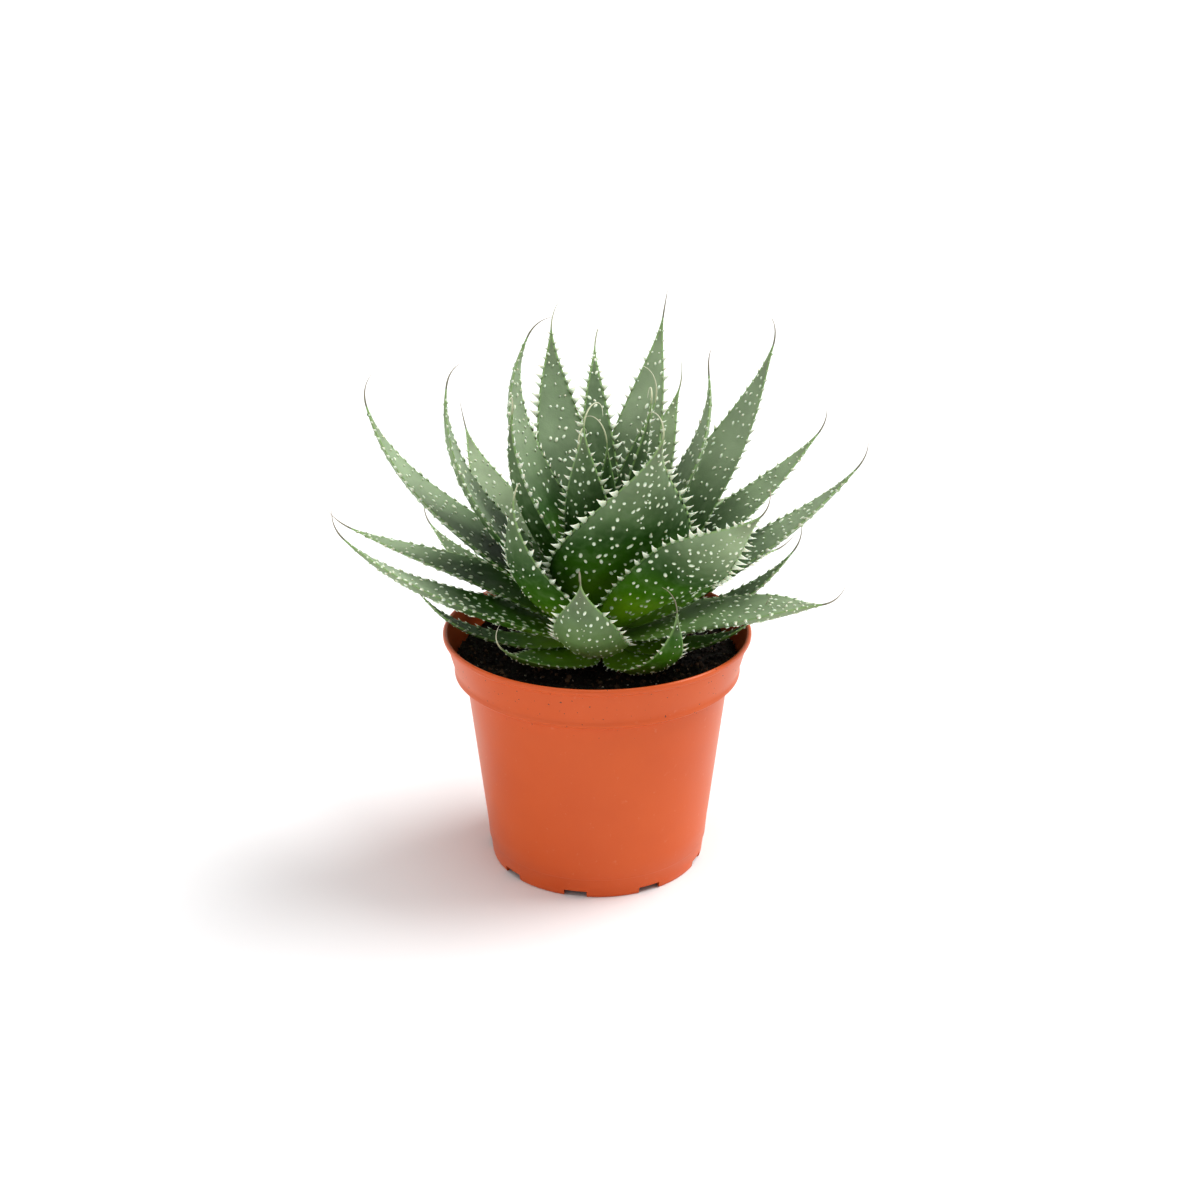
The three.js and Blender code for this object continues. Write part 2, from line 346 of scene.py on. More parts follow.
def toothTemplate():
    # a soft flattened tooth one unit long, hooked towards the leaf's tip (+X)
    bpy.ops.mesh.primitive_cone_add(vertices=6, radius1=0.35, radius2=0.012, depth=1, location=(0, 0, 0.5))
    tooth = bpy.context.object
    bakePlace(tooth)
    bpy.ops.object.mode_set(mode="EDIT")
    for height, width in ((0.25, 0.86), (0.6, 0.9)):
        bpy.ops.mesh.select_all(action="SELECT")
        bpy.ops.mesh.bisect(plane_co=(0, 0, height), plane_no=(0, 0, 1))
        bpy.ops.transform.resize(value=(width, width, 1), center_override=(0, 0, height))
    bpy.ops.mesh.select_all(action="SELECT")
    bpy.ops.transform.resize(value=(1, 0.62, 1), center_override=(0, 0, 0))
    bpy.ops.object.mode_set(mode="OBJECT")
    points = pointsOf(tooth.data)
    points[:, 0] += 0.22 * points[:, 2] ** 2
    return takeTemplate(tooth, points)


def bumpTemplate():
    # a low dome of radius one and height one, with a skirt that runs into the skin
    bpy.ops.mesh.primitive_uv_sphere_add(segments=8, ring_count=6, radius=1, location=(0, 0, 0))
    dome = bpy.context.object
    bpy.ops.object.mode_set(mode="EDIT")
    bpy.ops.mesh.select_all(action="SELECT")
    bpy.ops.mesh.bisect(plane_co=(0, 0, 0), plane_no=(0, 0, 1), clear_inner=True)
    bpy.ops.object.mode_set(mode="OBJECT")
    points = pointsOf(dome.data)
    low = points[:, 2] < 0.05
    points[low, :2] *= 1.18
    points[low, 2] = -0.25
    return takeTemplate(dome, points)


def takeTemplate(piece, points):
    faces = [tuple(face.vertices) for face in piece.data.polygons]
    removePiece(piece)
    return points, faces


class Pile:
    # collects the skin and its many small copies before they become one mesh
    def __init__(self):
        self.points, self.faces, self.slots, self.values = [], [], [], {}
        self.count = 0

    def add(self, points, faces, slot, **values):
        for label in set(self.values) | set(values):
            given = values.get(label, 0.0)
            self.values.setdefault(label, [np.zeros(self.count)])
            self.values[label].append(np.broadcast_to(np.asarray(given, dtype=float), (len(points),)))
        self.points.append(points)
        self.faces += [tuple(i + self.count for i in face) for face in faces]
        self.slots += [slot] * len(faces)
        self.count += len(points)

    def stamp(self, template, matrix, slot, **values):
        points, faces = template
        placed = points @ matrix[:3, :3].T + matrix[:3, 3]
        self.add(placed, faces, slot, reach=np.clip(points[:, 2], 0, 1), **values)

    def finish(self, name, materials):
        piece = meshPiece(name, np.concatenate(self.points), self.faces)
        for material in materials:
            piece.data.materials.append(material)
        piece.data.polygons.foreach_set("material_index", self.slots)
        for label, chunks in self.values.items():
            setAttribute(piece.data, label, np.concatenate(chunks))
        makeActive(piece)
        bpy.ops.object.shade_smooth()
        return piece


def unit(vector):
    return vector / (np.linalg.norm(vector) + 1e-12)


def placing(origin, xAxis, zAxis, scale):
    z = unit(zAxis)
    y = unit(np.cross(z, xAxis))
    x = np.cross(y, z)
    matrix = np.eye(4)
    matrix[:3, :3] = np.column_stack((x * scale[0], y * scale[1], z * scale[2]))
    matrix[:3, 3] = origin
    return matrix


toothShape = toothTemplate()
bumpShape = bumpTemplate()
print("tooth and bump modelled")


# leaves

leafForm = {
    "toothSpacing": 3.8 * mm, "toothLength": 3.3 * mm, "bumpRowSpacing": 5.2 * mm, "bumpSpacing": 3.1 * mm,
    "bumpRadius": 0.72 * mm, "bumpHeight": 0.55 * mm, "bristleRings": 8, "bristleRadius": 0.42 * mm,
    "marginCrease": 0.75, "smoothLevels": 2,
}
bladeRings = 11          # rings of the cage that belong to the blade; the rest is bristle
stations = [0, 0.09, 0.18, 0.28, 0.39, 0.5, 0.61, 0.71, 0.8, 0.87, 0.91]
acrossUpper = ([-1, -0.55, 0, 0.55, 1], [0, 1, 2, 3, 4])
acrossLower = ([-1, -0.58, 0, 0.58, 1], [0, 7, 6, 5, 4])


def ringWalk(piece):
    # the cage is rings of eight corners; walking out from the bristle's point finds them in order
    points = pointsOf(piece.data)
    near = [set() for _ in points]
    for edge in piece.data.edges:
        a, b = edge.vertices
        near[a].add(b)
        near[b].add(a)
    tips = [i for i, n in enumerate(near) if len(n) == 8]
    tip = max(tips, key=lambda i: np.linalg.norm(points[i] - crown))
    seen, layer, rings = {tip}, {tip}, []
    while True:
        layer = set().union(*(near[i] for i in layer)) - seen
        if not layer:
            break
        seen |= layer
        rings.append(layer)
    rings.reverse()
    if any(len(ring) != 8 for ring in rings):
        raise ValueError(piece.name + " has an uneven ring")
    middle = 4
    ring = rings[middle]
    order = [next(iter(ring))]
    while len(order) < 8:
        order.append(next(i for i in near[order[-1]] & ring if i not in order))
    spread = [(np.linalg.norm(points[order[i]] - points[order[(i + 4) % 8]]), i) for i in range(4)]
    start = max(spread)[1]
    order = order[start:] + order[:start]
    chord = (points[order[0]] + points[order[4]]) / 2
    if np.linalg.norm(points[order[2]] - chord) > np.linalg.norm(points[order[6]] - chord):
        order = [order[0]] + order[:0:-1]
    ordered = {middle: order}
    for step in (1, -1):
        k = middle
        while 0 <= k + step < len(rings):
            links = [near[i] & rings[k + step] for i in ordered[k]]
            choices = []
            for shift in (-1, 1):
                found = [links[j] & links[(j + shift) % 8] for j in range(8)]
                if all(len(f) == 1 for f in found):
                    line = [next(iter(f)) for f in found]
                    gap = sum(np.linalg.norm(points[a] - points[b]) for a, b in zip(line, ordered[k]))
                    choices.append((gap, line))
            ordered[k + step] = min(choices)[1]
            k += step
    return np.array([points[ordered[k]] for k in range(len(rings))])


def turnAbout(axis, angle):
    return np.array(Matrix.Rotation(angle, 3, Vector(axis)))


def bristleRings(ringsOfBlade, length, turn, towards):
    # the dry bristle: thin rings that carry on from the blade's end and curl towards a direction
    last = ringsOfBlade[-1]
    centre = last.mean(axis=0)
    offsets = last - centre
    offsets *= leafForm["bristleRadius"] / np.linalg.norm(offsets, axis=1).mean()
    heading = unit(centre - ringsOfBlade[-2].mean(axis=0))
    axis = np.cross(heading, towards)
    axis = unit(axis) if np.linalg.norm(axis) > 0.05 else unit(np.cross(heading, [0.3, 1, 0.2]))
    count = leafForm["bristleRings"]
    rings, place, spun = [], centre, np.eye(3)
    for k in range(1, count + 1):
        t = k / count
        spun = turnAbout(axis, turn * (t ** 1.3 - ((k - 1) / count) ** 1.3)) @ spun
        place = place + (spun @ heading) * length / count
        rings.append(place + (offsets @ spun.T) * (1 - 0.85 * t))
    return rings, place + (spun @ heading) * length * 0.06


def leafCage(name, blade, bristle, tip):
    rings = list(blade) + bristle
    points = np.concatenate([np.concatenate(rings), tip[None]])
    faces = []
    for k in range(len(rings) - 1):
        for i in range(8):
            j = (i + 1) % 8
            faces.append((8 * k + i, 8 * k + 8 + i, 8 * k + 8 + j, 8 * k + j))
    last = 8 * (len(rings) - 1)
    faces += [(last + i, len(points) - 1, last + (i + 1) % 8) for i in range(8)]
    faces.append(tuple(range(8)))
    piece = meshPiece(name, points, faces)
    along, under, edge, dry = [], [], [], []
    for k, ring in enumerate(rings):
        out = k >= bladeRings
        for i in range(8):
            along.append(1.0 if out else stations[k] / stations[-1])
            under.append((0.5, 0, 0, 0, 0.5, 1, 1, 1)[i])
            edge.append(min(np.linalg.norm(ring[i] - ring[0]), np.linalg.norm(ring[i] - ring[4])) / mm)
            dry.append((k - bladeRings + 1) / leafForm["bristleRings"] if out else 0.0)
    for label, values, end in (("along", along, 1), ("under", under, 0.5), ("edgeDistance", edge, 0),
                               ("reach", dry, 1)):
        setAttribute(piece.data, label, values + [end])
    crease = piece.data.attributes.new("crease_edge", "FLOAT", "EDGE")
    for edgeLine in piece.data.edges:
        a, b = edgeLine.vertices
        margin = a % 8 in (0, 4) and b % 8 == a % 8 and max(a, b) < 8 * bladeRings
        crease.data[edgeLine.index].value = leafForm["marginCrease"] if margin else 0.0
    makeActive(piece)
    bpy.ops.object.mode_set(mode="EDIT")
    bpy.ops.mesh.select_all(action="SELECT")
    bpy.ops.mesh.normals_make_consistent(inside=False)
    bpy.ops.object.mode_set(mode="OBJECT")
    smooth = piece.modifiers.new("smooth", "SUBSURF")
    smooth.levels = smooth.render_levels = leafForm["smoothLevels"]
    applyModifiers(piece)
    return piece


def bladeFrame(blade, s, u, lower):
    # a point of the blade from its share of the length and its place across, with the two directions there
    k = min(max(np.searchsorted(stations, s) - 1, 0), bladeRings - 2)
    t = (s - stations[k]) / (stations[k + 1] - stations[k])
    places, corners = acrossLower if lower else acrossUpper
    ring = blade[k] * (1 - t) + blade[k + 1] * t
    line = ring[corners]
    point = np.array([np.interp(u, places, line[:, axis]) for axis in range(3)])
    forward = unit(blade[k + 1].mean(axis=0) - blade[k].mean(axis=0))
    across = unit(line[4] - line[0])
    halfWidth = np.linalg.norm(line[4] - line[0]) / 2
    return point, forward, across, halfWidth


def bladeLength(blade):
    centres = blade.mean(axis=1)
    return np.linalg.norm(np.diff(centres, axis=0), axis=1).sum()


def addTeeth(pile, blade, surface, draw, size):
    length = bladeLength(blade)
    for side in (-1, 1):
        s = 0.1 + 0.02 * draw.random()
        while s < 0.9:
            point, forward, across, _ = bladeFrame(blade, s, side, False)
            grown = min(1, 0.35 + 2.4 * s) * min(1, 0.35 + 2.6 * (0.92 - s) / 0.92)
            tall = leafForm["toothLength"] * grown * size * draw.uniform(0.75, 1.15)
            found, normal, _, _ = surface.find_nearest(Vector(point))
            upward = np.cross(forward, across) * draw.uniform(-0.15, 0.25)
            outward = unit(across * side + forward * draw.uniform(0.3, 0.6) + upward)
            matrix = placing(np.array(found) - across * side * 0.3 * mm, forward, outward,
                             (tall * 1.05, tall * 1.0, tall))
            pile.stamp(toothShape, matrix, 2)
            s += leafForm["toothSpacing"] * (0.55 + 0.45 * grown) * draw.uniform(0.8, 1.2) / length


def addBumps(pile, blade, surface, draw, size, lower, share):
    length = bladeLength(blade)
    s = 0.13
    while s < 0.89:
        half = bladeFrame(blade, s, 0, lower)[3]
        count = int(half * 2 * 0.86 / leafForm["bumpSpacing"])
        shift = draw.uniform(-0.5, 0.5)
        bow = draw.uniform(0.2, 0.9) * mm / length
        for i in range(count + 1):
            if draw.random() > share:
                continue
            u = ((i + 0.5 + shift * 0.5) / (count + 1)) * 2 - 1
            u = max(-0.86, min(0.86, u * 0.9 + draw.uniform(-0.1, 0.1)))
            here = s + (u * u) * bow * 2 + draw.uniform(-1.0, 1.0) * mm / length
            point, forward, across, _ = bladeFrame(blade, min(here, 0.905), u, lower)
            found, normal, _, _ = surface.find_nearest(Vector(point))
            radius = leafForm["bumpRadius"] * size * draw.uniform(0.5, 1.2) * (0.75 + 0.25 * (1 - s))
            forward = forward + across * draw.uniform(-0.9, 0.9)
            stretch = draw.uniform(1.0, 1.9)
            height = leafForm["bumpHeight"] * draw.uniform(0.7, 1.2) * size
            pile.stamp(bumpShape, placing(np.array(found), forward, np.array(normal),
                                          (radius * stretch, radius, height)), 1)
        s += leafForm["bumpRowSpacing"] * draw.uniform(0.75, 1.25) * (1 - 0.35 * s) / length


def addKeel(pile, blade, surface, draw, size):
    # a line of small blunt spines along the keel, towards the tip
    length = bladeLength(blade)
    s = draw.uniform(0.42, 0.55)
    while s < 0.9:
        point, forward, _, _ = bladeFrame(blade, s, 0, True)
        found, normal, _, _ = surface.find_nearest(Vector(point))
        tall = 1.1 * mm * size * draw.uniform(0.7, 1.1) * min(1, 0.4 + 3 * (0.92 - s))
        pile.stamp(toothShape, placing(np.array(found) - np.array(normal) * 0.2 * mm, forward,
                                       np.array(normal) + 0.4 * forward, (tall * 1.3, tall * 1.5, tall)), 2)
        s += 3.4 * mm * draw.uniform(0.85, 1.25) / length


# what is particular to single leaves: age, fullness of the tip, teeth, how bristle and tip bend, and how much
# painted shade darkens leaves deep in the rosette
plainHabit = {"paleness": 0.0, "deepness": 0.0, "bristle": 13, "turn": 50, "blush": 0.85, "teeth": 0.85,
              "bend": 7, "fullness": 0.0, "broad": 0.12, "spread": 0.5}
leafHabits = {
    "outer_leaf_01": {"paleness": 0.1},
    "outer_leaf_02": {"paleness": 0.05, "broad": 0.3, "bristle": 14, "turn": 70, "blush": 0.2},
    "outer_leaf_04": {"bristle": 15, "turn": 40, "blush": 0.6},
    "outer_leaf_05": {"paleness": 0.25},
    "outer_leaf_06": {"paleness": 0.35},
    "outer_leaf_11": {"bristle": 13, "spread": -0.3, "broad": -0.1, "paleness": 0.35, "turn": 190,
                      "blush": 0.75, "bend": 10, "fullness": 0.45, "teeth": 1.1},
    "outer_leaf_12": {"fullness": 0.6, "broad": 0.5, "paleness": 0.35},
    "outer_leaf_13": {"paleness": 0.4},
    "outer_leaf_14": {"bend": 10},
    "middle_leaf_01": {"teeth": 1.2},
    "middle_leaf_02": {"bend": 8},
    "middle_leaf_03": {"paleness": 0.5},
    "middle_leaf_04": {"bristle": 14, "turn": 120, "blush": 0.15, "bend": 12, "teeth": 1.2,
                       "deepness": 0.2},
    "middle_leaf_05": {"bend": 22},
    "middle_leaf_06": {"paleness": 0.5},
    "middle_leaf_07": {"teeth": 1.25, "broad": 0.85, "deepness": 0.3, "bristle": 14, "turn": 130,
                       "blush": 0.1},
    "middle_leaf_10": {"bend": 5, "turn": 60},
    "middle_leaf_11": {"paleness": 0.3},
    "inner_leaf_01": {"paleness": 0.5, "blush": 0.4},
    "inner_leaf_02": {"bend": 22, "turn": 50},
    "inner_leaf_03": {"broad": 0.0, "teeth": 1.3, "bend": 10, "blush": 0.3, "deepness": 0.35},
    "inner_leaf_05": {"bend": 22, "turn": 50},
    "inner_leaf_06": {"bend": 22, "turn": 60},
}


def leafHabit(nodeName, draw):
    habit = {**plainHabit, **leafHabits.get(nodeName, {})}
    if nodeName.startswith("inner") and nodeName not in leafHabits:
        # inner leaves get painted shade, as they sit deep in the rosette
        habit.update(bristle=draw.uniform(14, 24), turn=draw.uniform(90, 210), blush=draw.uniform(0, 0.2),
                     teeth=1.15, deepness=0.6)
    return habit


def shapeTip(blade, habit, towards):
    # the last part of the blade narrows and bends the way the bristle goes on
    blade = blade.copy()
    for k, s in enumerate(stations):
        centre = blade[k].mean(axis=0)
        across = unit(blade[k][4] - blade[k][0])
        blade[k] += np.outer((blade[k] - centre) @ across, across) * habit["spread"] * max(0, 1 - s / 0.36)
        late = max(0, (s - 0.4) / 0.51)
        width = 1 + habit["fullness"] * math.sin(math.pi * late ** 1.5) - 0.3 * max(0, (s - 0.75) / 0.16)
        blade[k] = centre + (blade[k] - centre) * width
        broad = habit["broad"] * math.sin(math.pi * min(1, s / 0.8))
        blade[k] += np.outer((blade[k] - centre) @ across, across) * broad
    bend = math.radians(habit["bend"]) / 4
    for k in range(bladeRings - 4, bladeRings):
        pivot = blade[k - 1].mean(axis=0)
        axis = np.cross(unit(blade[k].mean(axis=0) - pivot), towards)
        if np.linalg.norm(axis) > 0.05:
            spun = turnAbout(unit(axis), bend)
            blade[k:] = (blade[k:] - pivot) @ spun.T + pivot
    return blade


def growLeaf(nodeName, number):
    draw = random.Random(700 + number)
    habit = leafHabit(nodeName, draw)
    cage = copyOfNode(nodeName, nodeName + "_cage")
    blade = ringWalk(cage)[:bladeRings]
    removePiece(cage)
    towards = unit(crown + [0, 0, 0.17] - blade[-1].mean(axis=0)) + [0, 0, 0.4]
    blade = shapeTip(blade, habit, unit(towards))
    towards = towards + [draw.uniform(-0.7, 0.7), draw.uniform(-0.7, 0.7), draw.uniform(-0.3, 0.3)]
    bristle, tip = bristleRings(blade, habit["bristle"] * mm,
                                math.radians(habit["turn"] * draw.uniform(0.85, 1.15)), towards)
    skin = leafCage(nodeName + "_skin", blade, bristle, tip)
    points = pointsOf(skin.data)
    faces = [tuple(face.vertices) for face in skin.data.polygons]
    surface = BVHTree.FromPolygons([Vector(p) for p in points], faces)
    values = {label: getAttribute(skin.data, label) for label in ("along", "under", "edgeDistance", "reach")}
    dry = values["reach"]
    pile = Pile()
    pile.add(points, faces, 0, **values)
    pile.slots = [3 if np.mean([dry[i] for i in face]) > 0.03 else 0 for face in faces]
    removePiece(skin)
    size = min(1.0, 0.5 + 0.55 * bladeLength(blade) / 0.10)
    addTeeth(pile, blade, surface, draw, size * habit["teeth"])
    addBumps(pile, blade, surface, draw, size, True, 0.78)
    addBumps(pile, blade, surface, draw, size, False, 0.62)
    addKeel(pile, blade, surface, draw, size)
    allPoints = np.concatenate(pile.points)
    pile.values.update(paleness=[np.full(pile.count, habit["paleness"])],
                       blush=[np.full(pile.count, habit["blush"])],
                       deepness=[np.full(pile.count, habit["deepness"])],
                       fromCrown=[np.linalg.norm(allPoints - crown, axis=1) / (100 * mm)])
    leaf = pile.finish(nodeName + "_grown", [leafSkin, paleBump, softTooth, dryBristle])
    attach(leaf, "root")
    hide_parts(nodeName)


stemLow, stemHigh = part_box("stem")
crown = np.array([(stemLow[0] + stemHigh[0]) / 2, (stemLow[1] + stemHigh[1]) / 2, 0.092])
for number, leafName in enumerate(leafNames):
    growLeaf(leafName, number)
print("leaves grown")


# stem: the CAD node stays, with the colour of shaded leaf bases

def stemMaterial():
    material, nodes, link, shader = newMaterial("stemSkin", 0.6)
    patches = useGroup(nodes, softMottle, Scale=250.0)
    link(mixColour(nodes, link, patches.outputs["Mask"], (0.06, 0.11, 0.02), (0.12, 0.18, 0.04)),
         shader.inputs["Base Color"])
    return material


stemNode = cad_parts["stem"]
stemNode.data.materials.clear()
stemNode.data.materials.append(stemMaterial())


# pot

potForm = {"sides": 160, "footRadius": 42.6, "bodyTopRadius": 51.5, "stepHeight": 78.5, "wall": 1.4,
           "notches": 9, "firstNotch": -101.5, "notchWidth": 9, "slotReach": 8}


def potProfile():
    # radius and height in millimetres, from the middle of the floor's underside round to its top
    footRadius = potForm["footRadius"]
    slope = (potForm["bodyTopRadius"] - footRadius) / potForm["stepHeight"]
    wallLine = [(footRadius + slope * z, z) for z in (0.8, 3, 8.0)]
    step = [(43.72, 8.3), (43.9, 8.6)]
    body = [(footRadius + slope * z + 0.1, z) for z in (16, 30, 45, 60, 72, 77.3)]
    under = [(51.6, 78.2), (52.1, 78.5), (54.3, 78.5), (55.3, 78.7), (55.85, 79.2), (55.95, 79.9), (55.7, 80.7),
             (55.6, 81.4)]
    band = [(55.6 + (58.6 - 55.6) * k / 6, 81.4 + (92.6 - 81.4) * k / 6) for k in range(1, 7)]
    lip = [(58.75, 93.2), (59.2, 93.6), (59.75, 94.0), (59.98, 94.6), (60, 95.2), (59.8, 95.7), (59.3, 96),
           (58.8, 95.95), (58.35, 95.6)]
    inside = [(56.2, 88), (54.0, 80.6), (53.5, 80.0), (52.6, 79.9), (50.4, 79.9), (49.95, 79.3), (47.5, 58),
              (44.6, 32), (41.9, 5), (41.2, 4.2), (0, 4.2)]
    foot = [(0, 2.6), (39.9, 2.6), (40.7, 2.2), (41.25, 0.6), (41.6, 0.1), (42.3, 0.1), (42.55, 0.4)]
    return foot + wallLine + step + body + under + band + lip + inside


def turnPot():
    profile = [(potAxis.x + r * mm, potAxis.y, z * mm) for r, z in potProfile()]
    mesh = bpy.data.meshes.new("nurseryPot")
    mesh.from_pydata(profile, [(i, i + 1) for i in range(len(profile) - 1)], [])
    pot = bpy.data.objects.new("nurseryPot", mesh)
    bpy.context.collection.objects.link(pot)
    makeActive(pot)
    bpy.ops.object.mode_set(mode="EDIT")
    bpy.ops.mesh.select_all(action="SELECT")
    bpy.ops.mesh.spin(steps=potForm["sides"], angle=2 * math.pi, center=potAxis, axis=(0, 0, 1))
    bpy.ops.mesh.select_all(action="SELECT")
    bpy.ops.mesh.remove_doubles(threshold=0.01 * mm)
    bpy.ops.mesh.normals_make_consistent(inside=False)
    bpy.ops.object.mode_set(mode="OBJECT")
    return pot


def cutDrains(pot):
    # each drain is a notch in the foot and a slot in the floor behind it
    f = potForm
    cutters = []
    for i in range(f["notches"]):
        turn = math.radians(f["firstNotch"] + 360 / f["notches"] * i)
        for depth, reach, height in ((f["footRadius"] - f["wall"] - f["slotReach"] / 2, f["slotReach"], 7),
                                     (f["footRadius"], 8, 2.6)):
            bpy.ops.mesh.primitive_cube_add(size=1, location=(0, 0, 0))
            block = bpy.context.object
            block.scale = (reach * mm, f["notchWidth"] * mm, height * 2 * mm if height < 5 else height * mm)
            bakePlace(block)
            lift = 0.0 if height < 5 else 2.2 * mm
            block.data.transform(Matrix.Translation((depth * mm, 0, lift)))
            block.data.transform(Matrix.Translation(potAxis) @ Matrix.Rotation(turn, 4, "Z"))
            cutters.append(block)
    for block in cutters:
        cut = pot.modifiers.new("drain", "BOOLEAN")
        cut.operation = "DIFFERENCE"
        cut.solver = "EXACT"
        cut.object = block
    applyModifiers(pot)
    for block in cutters:
        bpy.data.objects.remove(block)


def potMaterial():
    material, nodes, link, shader = newMaterial("terracottaPlastic", 0.36)
    shader.inputs["Specular IOR Level"].default_value = 0.4
    place = nodes.new("ShaderNodeTexCoord")
    split = nodes.new("ShaderNodeSeparateXYZ")
    link(place.outputs["Object"], split.inputs["Vector"])
    patches = useGroup(nodes, softMottle, Scale=26.0, Detail=5.0, Low=0.25, High=0.75)
    colour = mixColour(nodes, link, patches.outputs["Mask"], (0.60, 0.100, 0.018), (0.66, 0.122, 0.024))
    scuffs = useGroup(nodes, softMottle, Scale=420.0, Detail=4.0, Low=0.66, High=0.74)
    colour = mixColour(nodes, link, sums(nodes, link, "MULTIPLY", scuffs.outputs["Mask"], 0.1), colour,
                       (0.78, 0.42, 0.30))
    # soil dust clings near the rim's top edge and inside it
    high = nodes.new("ShaderNodeMapRange")
    high.inputs["From Min"].default_value = 0.070
    high.inputs["From Max"].default_value = 0.078
    link(split.outputs["Z"], high.inputs["Value"])
    specks = useGroup(nodes, softMottle, Scale=900.0, Detail=1.0, Low=0.745, High=0.755)
    dirt = sums(nodes, link, "MULTIPLY", specks.outputs["Mask"], high.outputs["Result"])
    colour = mixColour(nodes, link, dirt, colour, (0.05, 0.03, 0.02))
    link(colour, shader.inputs["Base Color"])
    rough = nodes.new("ShaderNodeMapRange")
    rough.inputs["To Min"].default_value = 0.32
    rough.inputs["To Max"].default_value = 0.44
    link(patches.outputs["Mask"], rough.inputs["Value"])
    link(rough.outputs["Result"], shader.inputs["Roughness"])
    grain = useGroup(nodes, fineGrain, Scale=1800.0, Strength=0.08, Distance=0.0002)
    link(grain.outputs["Normal"], shader.inputs["Normal"])
    return material


nurseryPot = turnPot()
cutDrains(nurseryPot)
nurseryPot.data.materials.append(potMaterial())
makeActive(nurseryPot)
bpy.ops.object.shade_smooth_by_angle(angle=math.radians(32))
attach(nurseryPot, "root")
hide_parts("pot")
print("pot turned")


# potting mix

mixForm = {"cell": 1.6 * mm, "roughness": 1.3 * mm, "crumbs": 3200}


def mixBody():
    body = copyOfNode("potting_mix", "potting_mix_bed")
    body.data.materials.clear()
    body.data.attributes.new("tone", "FLOAT", "POINT")
    remesh = body.modifiers.new("even", "REMESH")
    remesh.mode = "VOXEL"
    remesh.voxel_size = mixForm["cell"]
    applyModifiers(body)
    points = pointsOf(body.data)
    draw = random.Random(31)
    for i, p in enumerate(points):
        if p[2] > 0.0835 and math.hypot(p[0] - potAxis.x, p[1] - potAxis.y) > 9 * mm:
            wave = waves.noise(Vector(p) * 120) * 0.9 + waves.noise(Vector(p) * 420) * 0.8
            points[i][2] += (wave - 0.1) * mixForm["roughness"]
    body.data.vertices.foreach_set("co", points.ravel())
    body.data.update()
    return body


def crumbTemplates(draw):
    shapes = []
    for _ in range(4):
        bpy.ops.mesh.primitive_ico_sphere_add(subdivisions=1, radius=1, location=(0, 0, 0))
        crumb = bpy.context.object
        points = pointsOf(crumb.data)
        points *= np.array([[draw.uniform(0.65, 1.25)] for _ in points])
        shapes.append(takeTemplate(crumb, points))
    return shapes


def scatterCrumbs(body):
    draw = random.Random(47)
    shapes = crumbTemplates(draw)
    points = pointsOf(body.data)
    faces = [tuple(face.vertices) for face in body.data.polygons]
    surface = BVHTree.FromPolygons([Vector(p) for p in points], faces)
    pile = Pile()
    pile.add(points, faces, 0, tone=0.12)
    placed = 0
    while placed < mixForm["crumbs"]:
        angle, radius = draw.uniform(0, 2 * math.pi), 55 * mm * math.sqrt(draw.uniform(0.03, 1))
        x, y = potAxis.x + radius * math.cos(angle), potAxis.y + radius * math.sin(angle)
        hit = surface.ray_cast(Vector((x, y, 0.092)), Vector((0, 0, -1)))
        if hit[0] is None or hit[0].z < 0.082:
            placed += 1
            continue
        size = (0.35 + 1.1 * draw.random() ** 2.6) * mm
        if radius > 52 * mm:
            size = min(size, 0.8 * mm)
        kind = draw.random()
        tone = draw.uniform(0.0, 0.4)
        if kind > 0.72:
            tone = draw.uniform(0.45, 0.75)
        if kind > 0.95:
            tone, size = draw.uniform(0.85, 1.0), min(size, 0.7 * mm)
        turn = Matrix.Rotation(draw.uniform(0, 6.28), 3, "Z") @ Matrix.Rotation(draw.uniform(0, 6.28), 3, "X")
        matrix = np.eye(4)
        matrix[:3, :3] = np.array(turn) * size * np.array([1, draw.uniform(0.5, 1), draw.uniform(0.5, 1)])
        matrix[:3, 3] = np.array(hit[0]) + [0, 0, size * 0.25]
        shape, shapeFaces = shapes[placed % len(shapes)]
        pile.add(shape @ matrix[:3, :3].T + matrix[:3, 3], shapeFaces, 0, tone=tone)
        placed += 1
    return pile


def mixMaterial():
    material, nodes, link, shader = newMaterial("peatMix", 0.9)
    tone = readAttribute(nodes, "tone")
    colour = ramp(nodes, link, tone, [
        (0.0, (0.005, 0.0035, 0.0025)), (0.3, (0.030, 0.018, 0.011)), (0.55, (0.13, 0.07, 0.038)),
        (0.75, (0.19, 0.12, 0.07)), (1.0, (0.62, 0.58, 0.50))])
    patches = useGroup(nodes, softMottle, Scale=380.0, Detail=5.0)
    colour = mixColour(nodes, link, sums(nodes, link, "MULTIPLY", patches.outputs["Mask"], 0.5), colour,
                       (0.012, 0.008, 0.005))
    link(colour, shader.inputs["Base Color"])
    grain = useGroup(nodes, fineGrain, Scale=1500.0, Strength=0.9, Distance=0.0006)
    link(grain.outputs["Normal"], shader.inputs["Normal"])
    return material


mixBed = mixBody()
mixPile = scatterCrumbs(mixBed)
removePiece(mixBed)
pottingMix = mixPile.finish("pottingMix", [mixMaterial()])
bpy.ops.object.shade_flat()
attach(pottingMix, "root")
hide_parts("potting_mix")
print("potting mix laid")


# floor, light and camera

studio = {
    "floor": (0.90, 0.905, 0.91), "sun": 2.1, "sunPlace": (0.80, 0.30, 0.95), "sunAngle": 42,
    "horizon": 1.0, "zenith": 0.0, "front": 0.72, "left": 1.55,
    "topSun": 1.1, "topPlace": (0.1, -0.1, 1.0), "topAngle": 60,
}


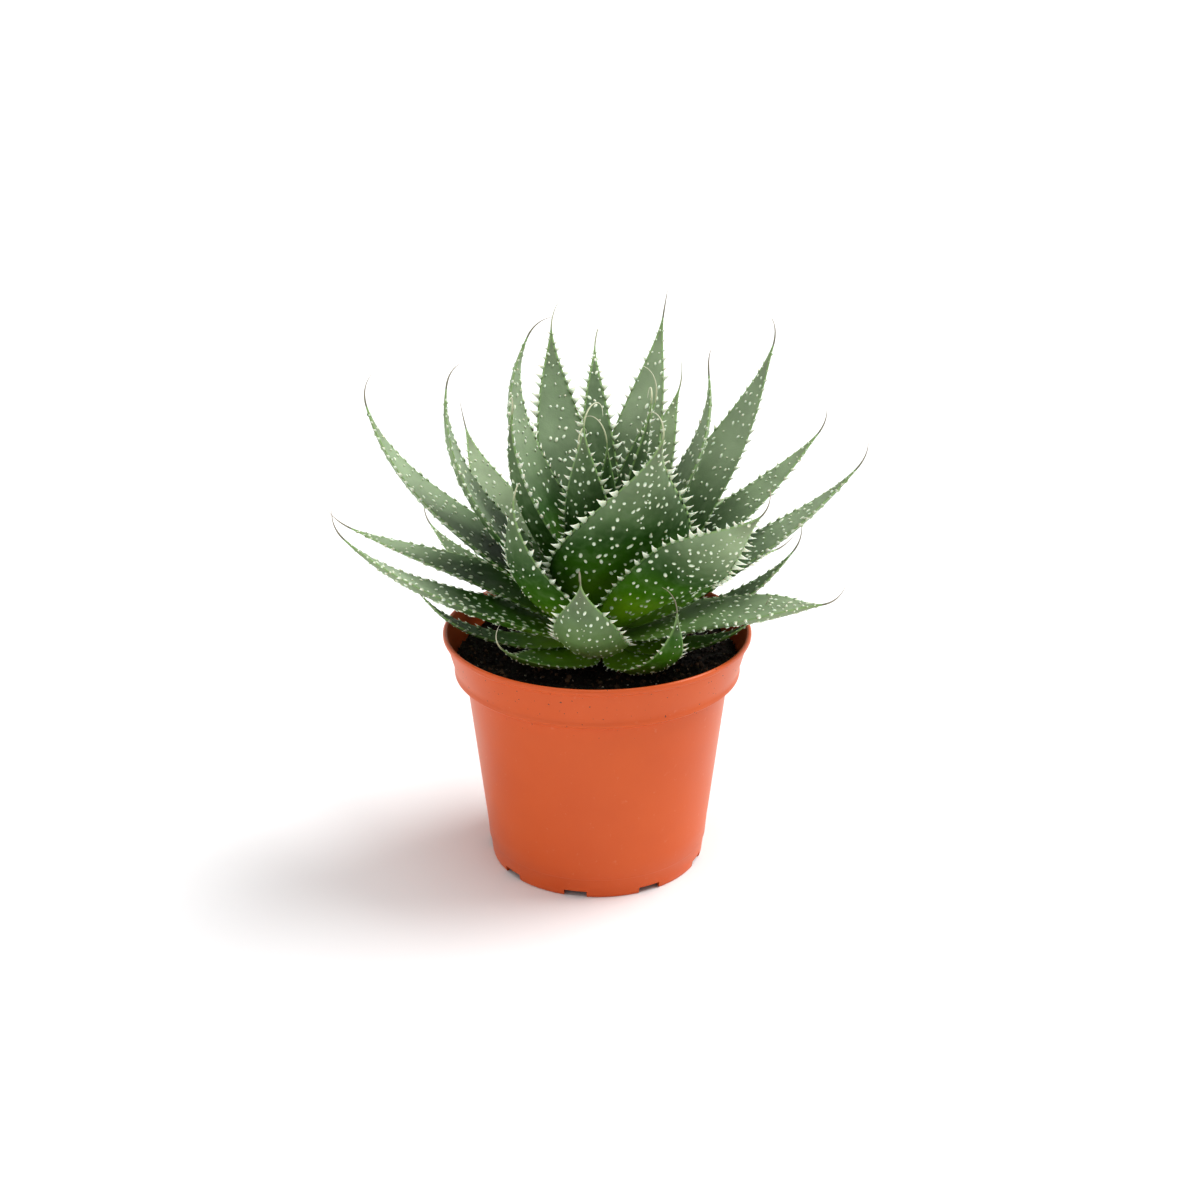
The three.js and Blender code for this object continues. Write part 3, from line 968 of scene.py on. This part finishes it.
def layFloor():
    bpy.ops.mesh.primitive_plane_add(size=60, location=(0, 0, 0))
    floor = bpy.context.object
    floor.name = "floor"
    material, nodes, link, shader = newMaterial("paleFloor", 0.8)
    shader.inputs["Base Color"].default_value = (*studio["floor"], 1)
    shader.inputs["Specular IOR Level"].default_value = 0.0
    floor.data.materials.append(material)


def hangSun(name, energy, place, angle):
    light = bpy.data.lights.new(name, "SUN")
    light.energy = energy
    light.angle = math.radians(angle)
    lamp = bpy.data.objects.new(name, light)
    lamp.rotation_euler = Vector(place).to_track_quat("Z", "Y").to_euler()
    bpy.context.collection.objects.link(lamp)


def surroundings():
    # a bright band round the horizon lights the sides of the pot; overhead it is dimmer
    world = bpy.data.worlds.new("softWhite")
    world.use_nodes = True
    nodes, link = world.node_tree.nodes, world.node_tree.links.new
    place = nodes.new("ShaderNodeTexCoord")
    split = nodes.new("ShaderNodeSeparateXYZ")
    link(place.outputs["Generated"], split.inputs["Vector"])
    height = nodes.new("ShaderNodeMapRange")
    height.inputs["To Min"].default_value = studio["horizon"]
    height.inputs["To Max"].default_value = studio["zenith"]
    link(split.outputs["Z"], height.inputs["Value"])
    front = nodes.new("ShaderNodeMapRange")
    front.inputs["From Min"].default_value = -1
    front.inputs["From Max"].default_value = 0
    front.inputs["To Min"].default_value = studio["front"]
    front.inputs["To Max"].default_value = 1
    link(split.outputs["Y"], front.inputs["Value"])
    left = nodes.new("ShaderNodeMapRange")
    left.inputs["From Min"].default_value = -1
    left.inputs["From Max"].default_value = 0
    left.inputs["To Min"].default_value = studio["left"]
    left.inputs["To Max"].default_value = 1
    link(split.outputs["X"], left.inputs["Value"])
    strength = sums(nodes, link, "MULTIPLY", height.outputs["Result"], front.outputs["Result"])
    strength = sums(nodes, link, "MULTIPLY", strength, left.outputs["Result"])
    background = nodes["Background"]
    background.inputs["Color"].default_value = (1, 1, 1, 1)
    link(strength, background.inputs["Strength"])
    bpy.context.scene.world = world


layFloor()
hangSun("keySun", studio["sun"], studio["sunPlace"], studio["sunAngle"])
hangSun("topSun", studio["topSun"], studio["topPlace"], studio["topAngle"])
surroundings()
bpy.context.scene.view_settings.view_transform = "Standard"
bpy.context.scene.view_settings.look = "Medium High Contrast"

view = {"lens": 50, "sensor": 36, "right": 1.1 * mm, "back": 0.600, "height": 0.345, "pitch": 21.63}

cameraData = bpy.data.cameras.new("camera")
cameraData.lens = view["lens"]
cameraData.sensor_width = view["sensor"]
cameraData.clip_start = 0.01
camera = bpy.data.objects.new("camera", cameraData)
camera.location = (potAxis.x + view["right"], potAxis.y - view["back"], view["height"])
camera.rotation_euler = (math.radians(90 - view["pitch"]), 0, 0)
bpy.context.collection.objects.link(camera)
bpy.context.scene.camera = camera
